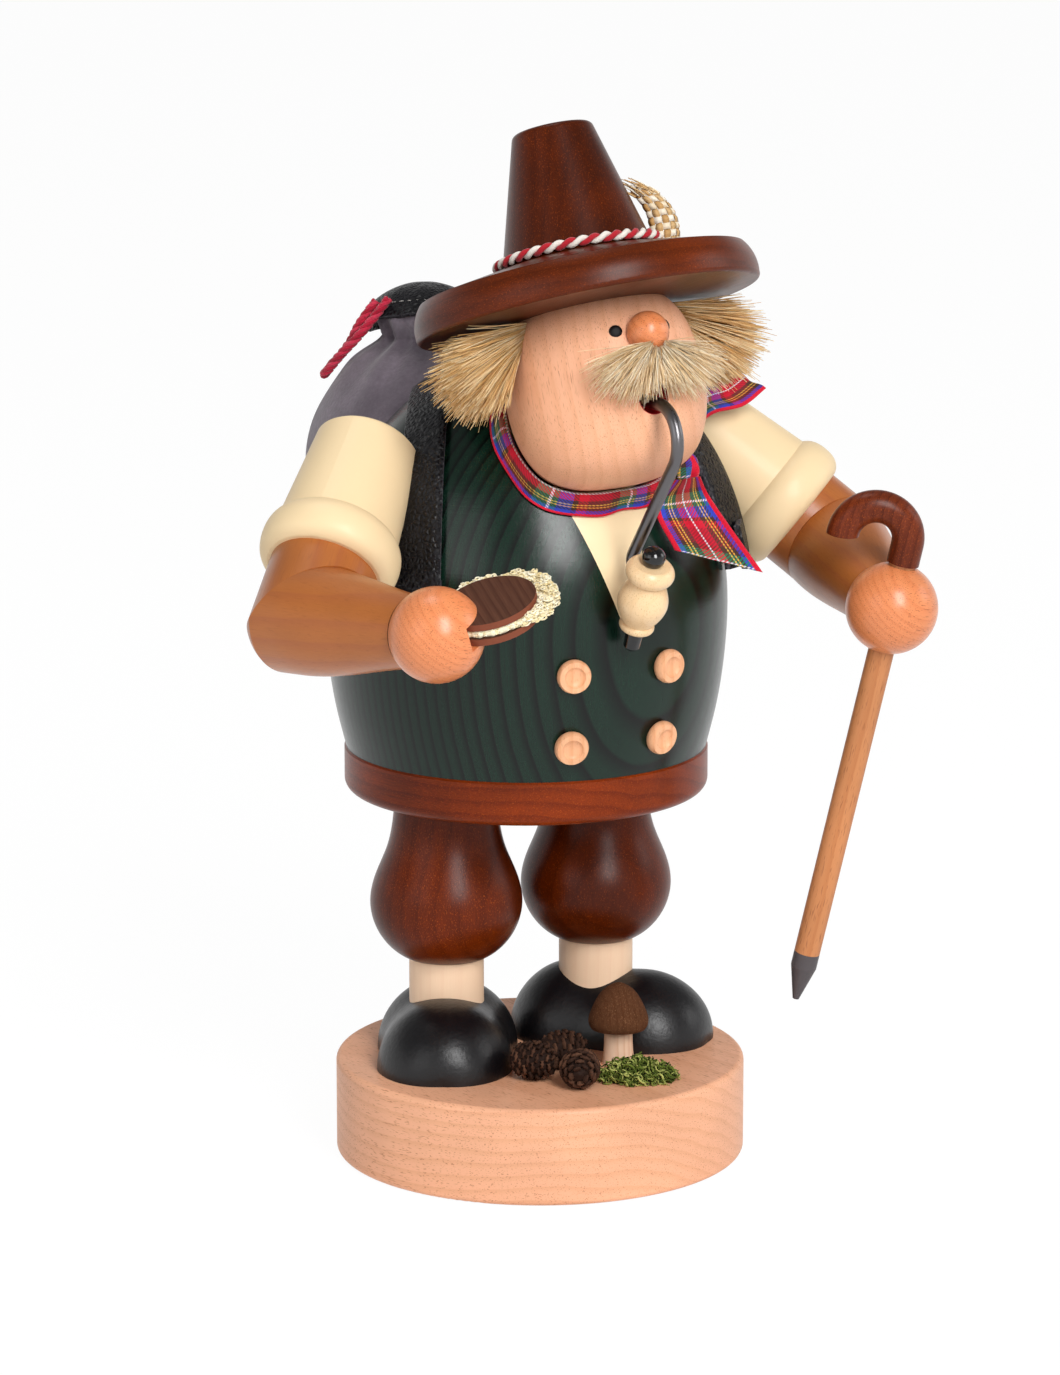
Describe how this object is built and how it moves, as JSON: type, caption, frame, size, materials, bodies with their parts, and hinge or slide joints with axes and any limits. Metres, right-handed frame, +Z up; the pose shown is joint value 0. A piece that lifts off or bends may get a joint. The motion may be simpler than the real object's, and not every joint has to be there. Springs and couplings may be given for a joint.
{
  "type": "incense smoker figure",
  "caption": "Turned wooden hiker that holds an incense cone: the hollow upper half lifts off a burner plate and smoke leaves through the mouth, past a hanging pipe.",
  "frame": {"origin": "centre of the base's underside", "axes": "+Z up along the figure, which faces -Y; its right hand is at -X"},
  "size_m": [0.1826, 0.1751, 0.2676],
  "materials": {
    "beech": "satin lacquer",
    "black_stain": "satin black lacquer",
    "maple": "satin lacquer",
    "brown_stain": "satin stain",
    "dowel_beech": "raw",
    "burner_tin": "pressed sheet",
    "screw_steel": "plain",
    "cap_stain": "stained",
    "alder_cone": "dry cone",
    "moss": "dry moss",
    "green_stain": "satin stain",
    "hand_beech": "satin lacquer",
    "bristle": "natural bristle",
    "hat_stain": "satin stain",
    "hat_cord": "twisted yarn",
    "straw": "plaited straw",
    "tartan": "woven ribbon",
    "cream_paint": "satin lacquer",
    "pear": "satin lacquer",
    "walnut": "raw",
    "filling_wool": "looped wool",
    "crook_stain": "satin stain",
    "ferrule_paint": "grey paint",
    "wire": "bent wire",
    "bowl_maple": "satin lacquer",
    "black_gloss": "gloss black paint",
    "felt": "wool felt",
    "black_leather": "grained",
    "red_wool": "wool cord"
  },
  "bodies": {
    "lower_half": {"base_disc": "beech", "shoe_right": "black_stain", "shoe_left": "black_stain", "stocking_right": "maple", "stocking_left": "maple", "breeches_right": "brown_stain", "breeches_left": "brown_stain", "leg_dowels": "dowel_beech", "hip_disc": "brown_stain", "burner_plate": "burner_tin", "burner_screw": "screw_steel", "mushroom_stem": "maple", "mushroom_cap": "cap_stain", "alder_cones": "alder_cone", "moss_tuft": "moss"},
    "upper_half": {"torso": "green_stain", "neck_tube": "dowel_beech", "head": "beech", "nose": "hand_beech", "eyes": "black_stain", "moustache": "bristle", "hair_right": "bristle", "hair_left": "bristle", "hat_brim": "hat_stain", "hat_crown": "hat_stain", "hat_dowel": "dowel_beech", "hat_cord": "hat_cord", "hat_plume": "straw", "neckerchief_band": "tartan", "neckerchief_knot": "tartan", "neckerchief_front_tail": "tartan", "neckerchief_back_tail": "tartan", "vest_buttons": "hand_beech", "sleeve_right": "cream_paint", "sleeve_left": "cream_paint", "elbow_right": "pear", "elbow_left": "pear", "forearm_right": "pear", "forearm_left": "pear", "hand_right": "hand_beech", "hand_left": "hand_beech", "shoulder_dowels": "dowel_beech", "wrist_dowels": "dowel_beech", "bread_lower": "walnut", "bread_filling": "filling_wool", "bread_upper": "walnut", "rucksack_bag": "felt", "rucksack_flap": "black_leather", "strap_right": "black_leather", "strap_left": "black_leather", "rucksack_cord": "red_wool"},
    "pipe": {"pipe_stem": "wire", "pipe_bowl": "bowl_maple", "pipe_knob": "black_gloss", "pipe_tip": "black_gloss"},
    "stick": {"stick_shaft": "dowel_beech", "stick_crook": "crook_stain", "stick_ferrule": "ferrule_paint"}
  },
  "joints": [
    {"name": "upper_body_lift", "type": "slide", "parent": "lower_half", "child": "upper_half", "axis": [0, 0, 1], "range_m": [0, 0.06]},
    {"name": "pipe_swing", "type": "hinge", "parent": "upper_half", "child": "pipe", "pos_m": [-0.00043, -0.04593, 0.20279], "axis": [0, -1, 0], "range_deg": [-20, 20]},
    {"name": "stick_lift", "type": "slide", "parent": "upper_half", "child": "stick", "axis": [0.1379, -0.1869, 0.9726], "range_m": [0, 0.12]}
  ]
}
